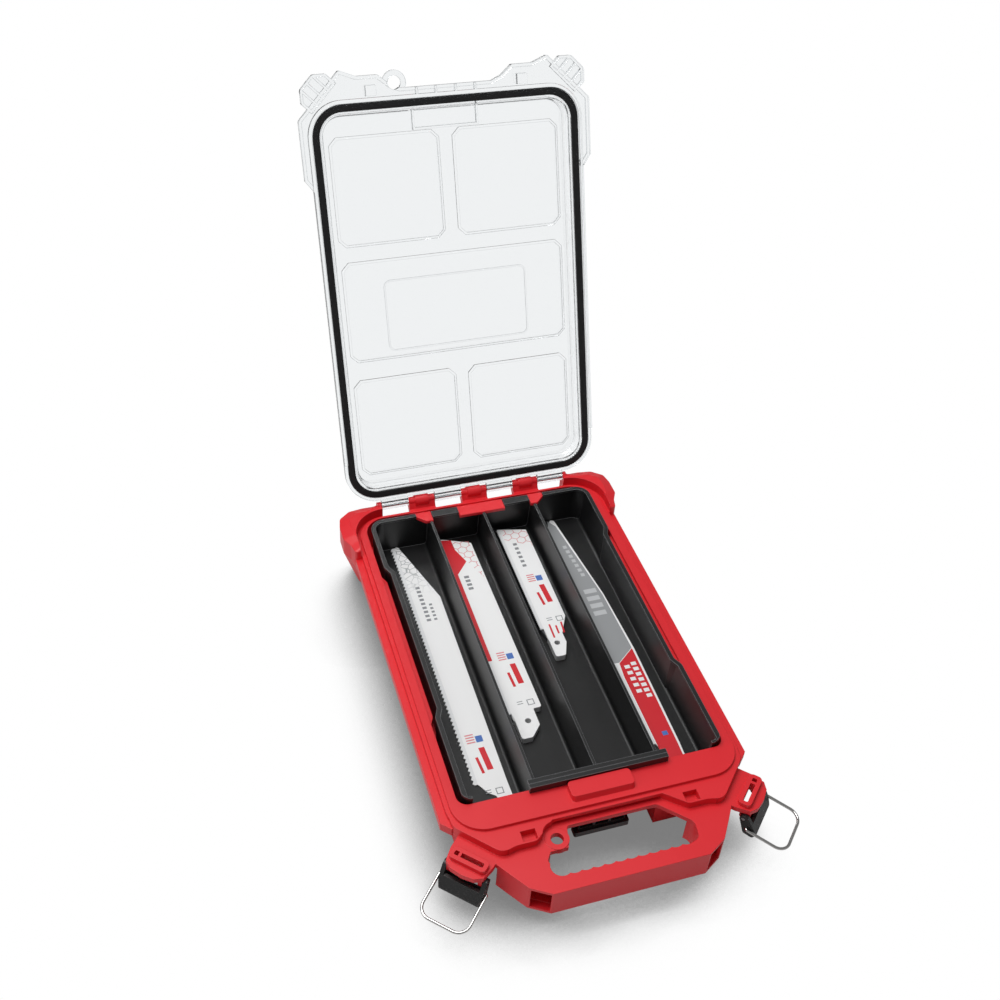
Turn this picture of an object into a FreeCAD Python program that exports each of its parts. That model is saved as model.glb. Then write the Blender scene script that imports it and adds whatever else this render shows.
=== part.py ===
import FreeCAD, Part
import math
import os

V = FreeCAD.Vector
ORIGIN = V(0, 0, 0)
X_AXIS = V(1, 0, 0)
Y_AXIS = V(0, 1, 0)
Z_AXIS = V(0, 0, 1)

# The case stands on the XY plane, its handle towards -Y and its hinge towards +Y.
# Every length is in millimetres. A size that follows another is worked out from it.

# Clearances
gap = 0.3
pin_fit = 0.05
seat_fit = 0.02
overrun = 6.0
same_place = 0.0001

# Main sizes: the tub's half width, the seal lip's two ends, and the heights of the floor and the rail
tub_half_width = 105.0
lip_front = -162.0
lip_back = 163.1
floor_top = 19.8
rail_low = 36.0
case_length = lip_back - lip_front

# Seal lip, ledge and rail round the tub
lip_half_width = tub_half_width + 3.4
lip_radius = 24.0
rear_lip_width = 2.1
ledge_half_width = tub_half_width + 6.5
ledge_front_step = 3.0
rail_half_width = ledge_half_width + 5.5
rail_top = rail_low + 7.5
rail_chamfer = 6.5
rail_chamfer_start = 10.2
rail_edge = 2.5
ledge_top = rail_top + 3.5
lip_top = ledge_top + 2.6

# Tub
wall = 3.0
tub_front_step = 1.5
tub_front_radius = 15.0
tub_back_radius = 21.0
tub_draft = 2.0
floor_plate = 2.4
bay_half_width = 41.5
bay_depth = 17.5
deck_reach = 22.7
deck_plate = 3.0
mouth_radius = 8.0
bulge_depth = 3.5
bulge_start = lip_front + 105.0
bulge_end = lip_back - 76.1
bulge_ramp = 8.0
rib_width = 2.0
rib_columns = 6
rib_rows = 9

# Pad on the front deck that the lid's pocket closes over
pad_half_width = 23.8
pad_back = lip_front + 19.2
pad_depth = 14.8
pad_top = lip_top + 4.8
pad_slope = 1.6
pad_radius = 3.0

# Raised wings of the front deck, as shares of the rail's half width and of the deck's depth
deck_depth = 20.0
wing_wall = 2.6
wing_shares = [
    (0.316, -0.05, 0.0), (0.487, 0.80, 0.05), (0.632, 0.80, 0.20), (0.701, 0.975, 0.08),
    (0.944, -0.51, 0.10), (0.944, -0.90, 0.0), (0.316, -0.90, 0.0),
]
pocket_share = 0.522
pocket_centre_x = pocket_share * rail_half_width
pocket_width = 10.8
pocket_front = lip_front - 14.5
pocket_length = 8.2
pocket_depth = 6.0

# Handle, as shares of its half width and of its depth in front of the seal lip
handle_half_width = rail_half_width - 27.6
handle_depth = 54.3
handle_top = rail_top - 3.1
handle_low = handle_top - 24.6
handle_wall = 2.6
handle_shares = [
    (0.643, 1.0, 0.01), (0.806, 0.840, 0.02), (0.919, 0.575, 0.02), (0.980, 0.427, 0.02),
    (1.085, 0.11, 0.0), (1.085, -0.11, 0.0),
]
hand_shares = [
    (-0.553, 0.770, 0.07), (0.615, 0.770, 0.07), (0.641, 0.50, 0.09), (0.409, 0.118, 0.06),
    (-0.350, 0.118, 0.03), (-0.403, 0.424, 0.0), (-0.551, 0.424, 0.02), (-0.597, 0.534, 0.04),
]
hand_rear_depth = 4.0
grip_count = 12
grip_pitch = 8.3
grip_depth = 1.2
window_top_step = 2.4
window_low_step = 2.2
eyelet_share = (-0.4653, 0.2707)
eyelet_x = eyelet_share[0] * handle_half_width
eyelet_y = lip_front - eyelet_share[1] * handle_depth
eyelet_ring_radius = 8.7
eyelet_hole_radius = 4.6
eyelet_bite_radius = 10.5
eyelet_rise = 0.5

# Front corners: a frame turned to the case's diagonal, with reach outward from where the ear starts
corner_turn = 45.0
corner_side_step = 23.66
corner_front_step = 3.46
corner_x = rail_half_width - corner_side_step
corner_y = lip_front - corner_front_step

# Latch ears, in the corner frame
ear_length = 28.5
ear_half_width = 16.5
ear_low = rail_low
ear_shares = [
    (0.0, -1.0, 0.0), (0.456, -1.0, 0.2), (0.825, -0.879, 0.3), (0.96, -0.545, 0.3), (1.0, 0.0, 1.6),
]
ear_rim_start = 12.3
ear_rim_width = 9.9
ear_rim_half_length = 14.0
ear_rim_top = handle_top + 4.0
ear_slot_width = 3.5
ear_slot_half_length = 11.1
ear_slot_radius = 1.0
ear_rib_width = 2.0
ear_rib_shift = 7.0

# Rear bumpers, as shares of their half width and of their length
bumper_half_width = rail_half_width + 6.6
bumper_front = lip_back - 41.1
bumper_length = 52.0
bumper_top = ledge_top + 5.5
bumper_peak = bumper_top + 3.5
bumper_peak_inset = 9.0
bumper_foot_inset = 12.0
bumper_shares = [
    (0.676, 1.0, 0.0), (0.676, 0.50, 0.0), (0.82, 0.0, 0.0), (0.947, 0.0, 0.02), (0.963, 0.173, 0.03),
    (1.0, 0.346, 0.05), (1.0, 0.635, 0.08), (0.983, 0.827, 0.04), (0.906, 0.971, 0.04), (0.809, 1.0, 0.02),
]

# Hinge
hinge_y = lip_back + 8.56
hinge_z = ledge_top + 7.0
hinge_rod_radius = 1.5
hinge_rod_half_length = 86.0
knuckle_radius = 3.6
fin_radius = 5.4
fin_width = 12.0
post_spacing = 47.6
post_width = 23.2
post_foot_radius = 2.0
post_neck_depth = 2.4
lid_open_angle = 110.9

# Clips that hold the tray's rear wall
clip_leg_back = lip_back - 9.4
clip_front = clip_leg_back - 12.0
clip_top = ledge_top + 8.5
clip_head = 3.0
clip_leg = 1.6
clip_low = ledge_top - 3.0
clip_middle_half_width = 20.5
clip_side_inner = 44.3
clip_side_outer = 57.6
clip_chamfer = 5.0
clip_rounding = 0.8

# Insert tray
tray_half_width = tub_half_width - wall - 3.0
tray_back = lip_back - 11.3
tray_wall = 1.8
tray_top = clip_top + 1.1
tray_floor = 2.6
tray_draft = 1.5
tray_side_radius = 12.0
tray_front_radius = 6.0
tray_end_radius = 5.0
tray_rim_width = 3.6
tray_rim_height = 2.0
tray_rim_step = 0.6
tray_under_top = lip_top - deck_plate - 0.4
divider_shares = (-0.4646, 0.0101, 0.4848)
divider_places = [share * tray_half_width for share in divider_shares]
divider_width = 2.0
divider_top = tray_top - 2.4
lane_radius = 3.0
flange_left = -51.0
flange_right = 55.0
flange_front = lip_front + 19.6
flange_plate = 2.2
flange_lip_low = lip_top + 0.6
flange_lip = 1.6
strip_reach = 7.0

# Saw blades: places across are shares of a blade's width from its toothed edge,
# places along are shares of the case's length from the seal lip's front
blade_width = 25.4
blade_thickness = 1.1
blade_rest_gap = 0.1
blade_stack_gap = 0.05
spare_count = 4
tooth_strip = 2.2
tooth_back_share = 0.35
tang_hole_radius = 2.4
blade_edge_shares = (-0.8061, -0.3808, 0.1505, 0.6212)
blade_1_row_shares = (0.1661, 0.9520)
blade_2_row_shares = (0.3265, 0.9394)
blade_3_row_shares = (0.5634, 0.9388)
blade_4_row_shares = (0.1661, 0.9289)
blade_teeth = (64, 66, 60, 62)
tooth_depths = (1.6, 1.4, 0.9, 1.3)
blade_1_shares = [
    (0.30, 0.1384, 0.12), (0.50, 0.1261, 0.08), (0.50, 0.0308, 0.08), (0.97, 0.0308, 0.08),
    (0.94, 0.1599, 0.12), (1.01, 0.7499, 0.31), (0.20, 0.9585, 0.08),
]
blade_2_shares = [
    (0.12, 0.3050, 0.08), (0.12, 0.2499, 0.08), (0.45, 0.2499, 0.08), (0.80, 0.2804, 0.08),
    (0.80, 0.3299, 0.04), (1.07, 0.3299, 0.08), (1.01, 0.9086, 0.02),
]
blade_3_shares = [
    (0.10, 0.5265, 0.04), (0.10, 0.4677, 0.08), (0.42, 0.4677, 0.08), (0.62, 0.5080, 0.08),
    (0.62, 0.5388, 0.08), (0.96, 0.5929, 0.08), (0.99, 0.9222, 0.02),
]
blade_4_shares = [
    (0.24, 0.1261, 0.08), (0.24, 0.0308, 0.08), (0.72, 0.0308, 0.08), (0.81, 0.1590, 0.12),
    (0.88, 0.4549, 0.39), (0.78, 0.6533, 0.39), (0.34, 0.9502, 0.12), (0.20, 0.9563, 0.08),
]
tang_hole_shares = ((0.74, 0.0529), (0.50, 0.2980), (0.32, 0.5111), (0.50, 0.0529))

# Lid, drawn closed and then opened about the hinge
seal_low = lip_top + 0.2
seal_height = 2.4
seal_half_width = lip_half_width + 0.9
seal_front = lip_front - 2.1
seal_back = lip_back - 0.7
seal_radius = 25.0
seal_width = 6.2
seal_round = 1.1
lid_rim = 2.7
lid_back = seal_back + 2.8
lid_plate = 2.0
lid_skirt_back = bumper_front + 6.0
lid_panel_top = seal_low + 12.7
lid_shell = 1.9
lid_wall = 2.1
lid_inner_low = seal_low + 0.5
lid_pad_rise = 1.5
lid_front_strip = 5.0
lid_strip_rib = 1.6
lid_strip_rib_places = (-23.5, -8.0, 8.0, 24.0)
lid_wing_thickness = 2.5
lid_side_half_width = rail_half_width + 1.5
lid_side_back = lip_front + 53.0
lid_side_ramp = 9.0
lid_wing_depth = 26.6
lid_wing_shares = [
    (0.312, 0.393, 0.0), (0.380, 0.526, 0.02), (0.456, 0.808, 0.02), (0.599, 0.808, 0.03),
    (0.709, 1.0, 0.02), (1.0, -0.30, 0.03),
]
lid_eyelet_ring_radius = 9.4
lid_eyelet_hole_radius = 5.2
lid_boss_side = 8.4
lid_boss_drop = 5.0
lid_pocket_half_width = 25.5
lid_pocket_back = pad_back + 1.8
lid_pocket_wall = 1.6
lid_pocket_height = 5.1
knuckle_web_low = lip_top + 0.8

# The lid's catches, in the corner frame
catch_start = 5.0
catch_end = 23.0
catch_half_width = 14.7
catch_top = ledge_top + 5.4
catch_low = ledge_top + gap
catch_wall = 2.0
catch_inner_radius = 2.0
catch_outer_radius = 4.0
catch_rib = 1.6
catch_rib_spacing = 7.0

# Pads on the lid's panel, along as shares of the case's length
pad_gap_half_width = 5.5
pad_side_step = 13.4
pad_half_reach = lip_half_width - pad_side_step
pad_row_shares = ((0.0729, 0.3384), (0.6819, 0.9434))
centre_pad_shares = (0.3762, 0.6343)
centre_frame_half_width = 61.5
centre_frame_shares = (0.4306, 0.6152)
frame_line = 1.2
frame_rise = 0.5
pad_corner = 6.0
pad_corner_radius = 1.0

# Latches, in the corner frame: reach outward and height
lever_pin_reach = 20.0
lever_pin_z = ear_low - 5.0
lever_pin_radius = 1.5
lug_inner = 10.7
lug_width = 3.0
lug_radius = 4.0
cheek_width = 3.0
lever_boss_radius = 4.0
lever_top_radius = 3.2
lever_top_reach = 2.8
lever_plate = 2.6
lever_tip_reach = 12.6
lever_tip_drop = 13.4
lever_heel_reach = 2.4
lever_heel_drop = 14.1
lever_foot_drop = 16.2
lever_shoulder_reach = 7.6
lever_shoulder_drop = 3.5
lever_rounding = 2.0
lever_small_rounding = 1.0
lever_side_radius = 5.0
lever_recess = 1.0
lever_core_reach = 8.7
lever_core_drop = 12.6
bail_reach = 4.0
bail_drop = 8.0
bail_wire_radius = 1.1
bail_length = 32.1
bail_tilt = 10.8
bail_side_gap = 0.2
bail_corner_radius = 9.0

# Stacking lock under the front deck
lock_x = -2.0
lock_half_width = 18.0
lock_foot_half_width = 21.0
lock_front = lip_front - 2.0
lock_depth = 6.0
lock_top = rail_low - 0.4
lock_low = lock_top - 17.1
lock_foot_height = 5.0
lock_foot_depth = 2.0
lock_body_radius = 1.0
lock_foot_radius = 1.5
lock_pin_y = lock_front + 3.4
lock_pin_z = lock_top - 3.0
lock_pin_radius = 1.5
lock_lug_width = 3.0
lock_recess_depth = 2.0


def corner_arc(points, index):
    """Start, middle and end of the rounding at one corner of an outline."""
    at = V(points[index][0], points[index][1], 0)
    radius = points[index][2]
    if not radius:
        return at, None, at
    last = points[index - 1]
    following = points[(index + 1) % len(points)]
    before = V(last[0], last[1], 0) - at
    after = V(following[0], following[1], 0) - at
    half = before.getAngle(after) / 2
    before.normalize()
    after.normalize()
    inward = before + after
    inward.normalize()
    centre = at + inward * (radius / math.sin(half))
    reach = radius / math.tan(half)
    return at + before * reach, centre - inward * radius, at + after * reach


def outline(points, height):
    """Closed wire through corner points (x, y, corner radius) at one height."""
    corners = [corner_arc(points, index) for index in range(len(points))]
    edges = []
    for index, (start, middle, end) in enumerate(corners):
        if middle:
            edges.append(Part.Arc(start, middle, end).toShape())
        following = corners[(index + 1) % len(corners)][0]
        if end.distanceToPoint(following) > same_place:
            edges.append(Part.makeLine(end, following))
    wire = Part.Wire(edges)
    wire.translate(V(0, 0, height))
    return wire


def prism(points, low, high):
    """Upright solid of one outline between two heights."""
    return Part.Face(outline(points, low)).extrude(V(0, 0, high - low))


def taper(low_points, high_points, low, high):
    """Solid whose outline changes evenly between two heights."""
    return Part.makeLoft([outline(low_points, low), outline(high_points, high)], True, True)


def side_prism(points, y_from, y_to):
    """Solid of an outline drawn in X and Z, from one Y to another."""
    solid = prism(points, -y_to, -y_from)
    solid.rotate(ORIGIN, X_AXIS, 90)
    return solid


def cross_prism(points, x_from, x_to):
    """Solid of an outline drawn in Y and Z, from one X to another."""
    solid = prism(points, x_from, x_to)
    solid.rotate(ORIGIN, V(1, 1, 1), 120)
    return solid


def box(x_from, x_to, y_from, y_to, z_from, z_to):
    return Part.makeBox(x_to - x_from, y_to - y_from, z_to - z_from, V(x_from, y_from, z_from))


def rod_x(radius, x_from, x_to, y, z):
    return Part.makeCylinder(radius, x_to - x_from, V(x_from, y, z), X_AXIS)


def rod_y(radius, y_from, y_to, x, z):
    return Part.makeCylinder(radius, y_to - y_from, V(x, y_from, z), Y_AXIS)


def post(radius, x, y, low, high):
    return Part.makeCylinder(radius, high - low, V(x, y, low), Z_AXIS)


def inset(points, distance):
    """The same anticlockwise outline moved inward by a distance, or outward by a negative one."""
    moved = []
    for index, (x, y, radius) in enumerate(points):
        last = points[index - 1]
        following = points[(index + 1) % len(points)]
        first = V(x - last[0], y - last[1], 0).normalize()
        second = V(following[0] - x, following[1] - y, 0).normalize()
        first_side = V(-first.y, first.x, 0)
        second_side = V(-second.y, second.x, 0)
        move = (first_side + second_side) * (distance / (1 + first_side.dot(second_side)))
        turn = first.x * second.y - first.y * second.x
        bend = radius - distance if turn > 0 else radius + distance
        moved.append((x + move.x, y + move.y, max(bend, 0) if radius else 0))
    return moved


def plan(half_width, front, back, front_radius, back_radius):
    return [
        (half_width, front, front_radius), (half_width, back, back_radius),
        (-half_width, back, back_radius), (-half_width, front, front_radius),
    ]


def block_plan(x_from, x_to, y_from, y_to, radius):
    return [(x_from, y_from, radius), (x_to, y_from, radius), (x_to, y_to, radius), (x_from, y_to, radius)]


def mirrored(points):
    """Full outline from its right half, listed from the front to the back."""
    return points + [(-x, y, radius) for x, y, radius in reversed(points)]


def spread(shares, width, depth, start):
    """Outline from shares of a width and of a depth in front of a starting line."""
    return [(x * width, start - y * depth, radius * width) for x, y, radius in shares]


def along(share):
    """Place along the case from its share of the case's length."""
    return lip_front + share * case_length


def on_corner(shape, side):
    """Put a shape drawn in the corner frame on the right (1) or left (-1) front corner."""
    turned = shape.copy()
    turned.rotate(ORIGIN, Z_AXIS, -corner_turn)
    turned.translate(V(corner_x, corner_y, 0))
    return turned if side > 0 else turned.mirror(ORIGIN, X_AXIS)


# Base shell

def tub_outline():
    front = lip_front + tub_front_step
    right = [(tub_half_width, front, tub_front_radius), (tub_half_width, lip_back, tub_back_radius)]
    bay = [(-bay_half_width, front, 0), (-bay_half_width, front + bay_depth, 0)]
    bay += [(bay_half_width, front + bay_depth, 0), (bay_half_width, front, 0)]
    return mirrored(right) + bay


def rim_stack():
    """Rail, ledge and seal lip as stacked plates on the drafted tub."""
    chamfer = lip_front + rail_chamfer_start
    rail = mirrored([
        (rail_half_width - rail_chamfer, chamfer, 0), (rail_half_width, chamfer + rail_chamfer, 0),
        (rail_half_width, lip_back, lip_radius + rail_half_width - lip_half_width),
    ])
    ledge_radius = lip_radius + ledge_half_width - lip_half_width
    ledge = plan(ledge_half_width, lip_front - ledge_front_step, lip_back, ledge_radius, ledge_radius)
    lip = plan(lip_half_width, lip_front, lip_back, lip_radius, lip_radius)
    tub = taper(inset(tub_outline(), tub_draft), tub_outline(), 0, rail_low)
    plates = [
        prism(tub_outline(), rail_low, ledge_top), prism(rail, rail_low, rail_top),
        prism(ledge, rail_top, ledge_top), prism(lip, ledge_top, lip_top),
    ]
    return tub.fuse(plates)


def rail_channels():
    """Grooves under the rail and the ledge that leave even walls."""
    cuts = []
    long_from = bulge_start - rail_half_width / 2
    long_to = bumper_front - wall
    for side in (-1, 1):
        for inner, outer, top in (
            (tub_half_width, ledge_half_width - rail_edge, ledge_top - rail_edge),
            (ledge_half_width, rail_half_width - rail_edge, rail_top - rail_edge),
        ):
            edges = sorted((side * inner, side * outer))
            cuts.append(box(edges[0], edges[1], long_from, long_to, 0, top))
    return cuts


def underside_hollows():
    """Cells between the ribs under the tub's floor."""
    top = floor_top - floor_plate
    hollow = prism(inset(tub_outline(), tub_draft + wall), -overrun, top)
    front = lip_front + tub_front_step
    ribs = []
    for index in range(1, rib_columns):
        x = tub_half_width * (2 * index / rib_columns - 1)
        ribs.append(box(x - rib_width / 2, x + rib_width / 2, front, lip_back, -overrun, top))
    for index in range(1, rib_rows):
        y = front + (lip_back - front) * index / rib_rows
        near, far = y - rib_width / 2, y + rib_width / 2
        ribs.append(box(-tub_half_width, tub_half_width, near, far, -overrun, top))
    return hollow.cut(ribs)


def tub_cavity():
    """Space for the tray: the open mouth and the part that runs on under the front deck."""
    inner = tub_half_width - wall
    mouth = plan(inner, lip_front + deck_reach, lip_back - rear_lip_width,
                 mouth_radius, tub_back_radius - wall)
    under = prism(inset(tub_outline(), wall), floor_top, lip_top - deck_plate)
    open_top = prism(mouth, floor_top, lip_top + overrun)
    cavity = under.fuse(open_top)
    bulges = []
    for side in (-1, 1):
        points = [
            (side * (inner + overrun), bulge_start - bulge_ramp, 0),
            (side * inner, bulge_start - bulge_ramp, 0), (side * (inner - bulge_depth), bulge_start, 0),
            (side * (inner - bulge_depth), bulge_end, 0), (side * inner, bulge_end + bulge_ramp, 0),
            (side * (inner + overrun), bulge_end + bulge_ramp, 0),
        ]
        bulges.append(prism(points, floor_top - overrun, ledge_top))
    return cavity.cut(bulges)


def deck_pad():
    front = pad_back - pad_depth
    low = block_plan(-pad_half_width, pad_half_width, front, pad_back, pad_radius)
    high = block_plan(-pad_half_width, pad_half_width, front + pad_slope, pad_back, pad_radius)
    return taper(low, high, lip_top, pad_top)


def wing(side):
    points = spread(wing_shares, rail_half_width, deck_depth, lip_front)
    if side < 0:
        points = [(-x, y, radius) for x, y, radius in reversed(points)]
    solid = prism(points, rail_low, ledge_top)
    hollow = prism(inset(points, wing_wall), rail_low - overrun, ledge_top - wing_wall)
    x = side * pocket_centre_x
    reach = pocket_width / 2 + wing_wall
    cup = box(x - reach, x + reach, pocket_front - wing_wall, pocket_front + pocket_length + wing_wall,
              ledge_top - pocket_depth - wing_wall, ledge_top)
    pocket = box(x - pocket_width / 2, x + pocket_width / 2, pocket_front, pocket_front + pocket_length,
                 ledge_top - pocket_depth, ledge_top + overrun)
    return solid.cut(hollow.cut(cup)).cut(pocket)


def hand_outline():
    return spread(hand_shares, handle_half_width, handle_depth, lip_front)


def hand_opening():
    """Hole for the hand, with a scalloped grip along its front edge."""
    opening = prism(hand_outline(), 0, ledge_top)
    edge = lip_front - hand_shares[0][1] * handle_depth
    radius = ((grip_pitch / 2) ** 2 + grip_depth ** 2) / (2 * grip_depth)
    scallops = []
    for index in range(grip_count):
        x = (index - (grip_count - 1) / 2) * grip_pitch
        scallops.append(post(radius, x, edge - grip_depth + radius, 0, ledge_top))
    return opening.fuse(scallops)


def flank_window(side):
    """Opening in the handle's slanted flank."""
    points = spread(handle_shares, handle_half_width, handle_depth, lip_front)
    start = V(points[0][0], points[0][1], 0)
    end = V(points[1][0], points[1][1], 0)
    flank = (end - start).normalize()
    length = (end - start).Length - handle_wall
    cutter = Part.makeBox(length, 2 * overrun, handle_top - window_top_step - handle_low - window_low_step,
                          V(handle_wall / 2, -overrun, 0))
    cutter.rotate(ORIGIN, Z_AXIS, math.degrees(math.atan2(flank.y, flank.x)))
    cutter.translate(V(start.x, start.y, handle_low + window_low_step))
    return cutter if side > 0 else cutter.mirror(ORIGIN, X_AXIS)


def handle():
    """Hollow handle, open only at the windows in its flanks and towards the deck."""
    points = mirrored(spread(handle_shares, handle_half_width, handle_depth, lip_front))
    solid = prism(points, handle_low, handle_top)
    solid = solid.cut(prism(inset(points, handle_wall), handle_low + handle_wall, handle_top - handle_wall))
    rear = lip_front - handle_shares[3][1] * handle_depth
    solid = solid.cut(box(-rail_half_width, rail_half_width, rear, 0, 0, rail_low))
    ring = prism(inset(hand_outline(), -handle_wall), handle_low, handle_top)
    rear_part = box(-rail_half_width, rail_half_width, rear, 0, 0, handle_top - hand_rear_depth)
    solid = solid.fuse([ring.cut(rear_part), eyelet_ring()])
    hole = post(eyelet_hole_radius, eyelet_x, eyelet_y, 0, ledge_top)
    opening = hand_opening().cut(eyelet_ring())
    return solid.cut([opening, hole, flank_window(1), flank_window(-1)])


def eyelet_ring():
    return post(eyelet_ring_radius, eyelet_x, eyelet_y, rail_low, handle_top + eyelet_rise)


def ear():
    """Latch ear in the corner frame, with its slotted rim and the lugs of the lever's pin."""
    right = [(x * ear_length, y * ear_half_width, radius) for x, y, radius in ear_shares]
    left = [(x, -y, radius) for x, y, radius in reversed(right[:-1])]
    plate = prism(right + left, ear_low, handle_top)
    rim_end = ear_rim_start + ear_rim_width
    rim = prism(block_plan(ear_rim_start, rim_end, -ear_rim_half_length, ear_rim_half_length,
                           ear_rim_width / 3), ear_low, ear_rim_top)
    middle = ear_rim_start + ear_rim_width / 2
    slot = prism(block_plan(middle - ear_slot_width / 2, middle + ear_slot_width / 2,
                            -ear_slot_half_length, ear_slot_half_length, ear_slot_radius), 0, lip_top)
    slot = slot.cut(box(0, rim_end, ear_rib_shift - ear_rib_width / 2, ear_rib_shift + ear_rib_width / 2,
                        0, ear_rim_top))
    body = plate.fuse(rim).cut(slot)
    lugs = []
    for side in (-1, 1):
        edges = sorted((side * lug_inner, side * (lug_inner + lug_width)))
        lugs.append(rod_y(lug_radius, edges[0], edges[1], lever_pin_reach, lever_pin_z))
        lugs.append(box(lever_pin_reach - lug_radius, lever_pin_reach + lug_radius, edges[0], edges[1],
                        lever_pin_z, ear_low))
    return body.fuse(lugs).cut(lever_pin(lever_pin_radius + seat_fit, ear_half_width))


def lever_pin(radius, half_length):
    return rod_y(radius, -half_length, half_length, lever_pin_reach, lever_pin_z)


def lid_space():
    """Room that the closed lid's rim takes inside the bumpers."""
    half_width = seal_half_width + lid_rim + gap
    room = plan(half_width, 0, lid_back + gap, 0, seal_radius + lid_rim + gap)
    return prism(room, ledge_top, bumper_peak + overrun)


def bumper_outline():
    points = []
    for x, y, radius in bumper_shares:
        points.append((x * bumper_half_width, bumper_front + y * bumper_length, radius * bumper_half_width))
    points[0] = (hinge_end(), points[0][1], 0)
    points[1] = (hinge_end(), points[1][1], 0)
    return points


def hinge_end():
    """Inner face of the bumper, just outside the lid's outermost knuckle."""
    return post_spacing + post_spacing - post_width / 2 - gap / 2


def bumper():
    full = bumper_outline()
    foot = [(full[0][0], full[0][1] - bumper_foot_inset, 0), full[1], full[2]]
    peak = [full[0], full[1], full[2]]
    centre = V(lip_half_width - lip_radius, lip_back - lip_radius, 0)
    for x, y, radius in full[3:]:
        inward = (centre - V(x, y, 0)).normalize()
        foot.append((x + inward.x * bumper_foot_inset, y + inward.y * bumper_foot_inset, radius))
        peak.append((x + inward.x * bumper_peak_inset, y + inward.y * bumper_peak_inset, radius))
    parts = [prism(full, rail_low, bumper_top), taper(full, peak, bumper_top, bumper_peak)]
    solid = taper(foot, full, 0, rail_low).fuse(parts).cut(lid_space())
    solid = solid.fuse(rod_x(knuckle_radius, hinge_end(), hinge_end() + knuckle_radius, hinge_y, hinge_z))
    return solid


def hinge_rod(radius, half_length):
    return rod_x(radius, -half_length, half_length, hinge_y, hinge_z)


def hinge_post(x):
    profile = [
        (lip_back - rear_lip_width, rail_low + wall, 0),
        (lip_back + wall, rail_low + 2 * wall, post_foot_radius),
        (hinge_y + knuckle_radius, hinge_z - knuckle_radius, post_foot_radius),
        (hinge_y + knuckle_radius, hinge_z, 0), (hinge_y - knuckle_radius, hinge_z, 0),
        (lip_back + post_neck_depth, lip_top - gap, 0), (lip_back - rear_lip_width, lip_top - gap, 0),
    ]
    strap = cross_prism(profile, x - post_width / 2, x + post_width / 2)
    knuckle = rod_x(knuckle_radius, x - post_width / 2, x + post_width / 2, hinge_y, hinge_z)
    fin = rod_x(fin_radius, x - fin_width / 2, x + fin_width / 2, hinge_y, hinge_z)
    return strap.fuse([knuckle, fin])


def clip(x_from, x_to):
    """Hook over the tray's rear wall, standing on a leg from the tub's rear wall."""
    profile = [
        (lip_back - rear_lip_width, clip_low, 0), (lip_back - rear_lip_width, ledge_top, 0),
        (clip_leg_back, ledge_top, 0), (clip_leg_back, clip_top, clip_rounding),
        (clip_front, clip_top, clip_rounding), (clip_front, clip_top - clip_head, 0),
        (clip_leg_back - clip_leg, clip_top - clip_head, 0), (clip_leg_back - clip_leg, clip_low, 0),
    ]
    return cross_prism(profile, x_from, x_to)


def clips():
    shapes = [clip(-clip_middle_half_width, clip_middle_half_width)]
    for side in (-1, 1):
        edges = sorted((side * clip_side_inner, side * clip_side_outer))
        shape = clip(edges[0], edges[1])
        corner = V(side * clip_side_outer, clip_front, 0)
        cutter = Part.makeBox(2 * clip_chamfer, 2 * clip_chamfer, overrun + clip_head,
                              V(-clip_chamfer, -clip_chamfer, clip_top - clip_head - gap))
        cutter.rotate(ORIGIN, Z_AXIS, corner_turn)
        cutter.translate(corner)
        shapes.append(shape.cut(cutter))
    return shapes


def lock_lugs():
    shapes = []
    inner = lock_half_width + gap
    for side in (-1, 1):
        edges = sorted((lock_x + side * inner, lock_x + side * (inner + lock_lug_width)))
        lug = box(edges[0], edges[1], lock_pin_y - lock_depth / 2, lock_pin_y + lock_depth / 2,
                  lock_pin_z - lock_depth / 2, rail_low + handle_wall)
        shapes.append(lug)
    return shapes


def lock_bore():
    reach = lock_half_width + gap + lock_lug_width + overrun
    return rod_x(lock_pin_radius + seat_fit, lock_x - reach, lock_x + reach, lock_pin_y, lock_pin_z)


def base_shell():
    bay_front = lip_front + tub_front_step
    bay = box(-bay_half_width, bay_half_width, bay_front, bay_front + bay_depth,
              -overrun, lip_top - deck_plate)
    rod_bore = hinge_rod(hinge_rod_radius + seat_fit, hinge_rod_half_length + gap)
    bite = post(eyelet_bite_radius, eyelet_x, eyelet_y, handle_top, ledge_top + overrun)
    parts = [deck_pad(), bumper(), bumper().mirror(ORIGIN, X_AXIS)]
    shell = rim_stack().cut(rail_channels()).fuse(parts)
    shell = shell.fuse([wing(-1).cut(bite), wing(1), handle(), on_corner(ear(), 1), on_corner(ear(), -1)])
    shell = shell.cut([tub_cavity(), underside_hollows(), bay])
    posts = [hinge_post(index * post_spacing) for index in (-1, 0, 1)]
    shell = shell.fuse(posts + clips() + lock_lugs())
    return shell.cut([rod_bore, lock_bore()]).removeSplitter()


# Insert tray

def tray_outline(draft):
    half = tray_half_width - draft
    front = lip_front + deck_reach + gap + draft
    back = tray_back - draft
    narrow = half - bulge_depth
    right = [
        (half, front, tray_front_radius), (half, bulge_start - bulge_ramp, 0),
        (narrow, bulge_start - gap, 0), (narrow, bulge_end + gap, 0),
        (half, bulge_end + bulge_ramp, 0), (half, back, tray_side_radius),
    ]
    return mirrored(right)


def under_deck_part(x_from, x_to, outer_side):
    """End of an outer lane that runs on below the front deck."""
    front = lip_front + tub_front_step + wall + gap
    back = lip_front + deck_reach + gap + tray_draft + tray_front_radius
    radius = tray_end_radius
    if outer_side > 0:
        points = [(x_from, front, 0), (x_to, front, radius), (x_to, back, 0), (x_from, back, 0)]
    else:
        points = [(x_from, front, radius), (x_to, front, 0), (x_to, back, 0), (x_from, back, 0)]
    return prism(points, floor_top, tray_under_top)


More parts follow.
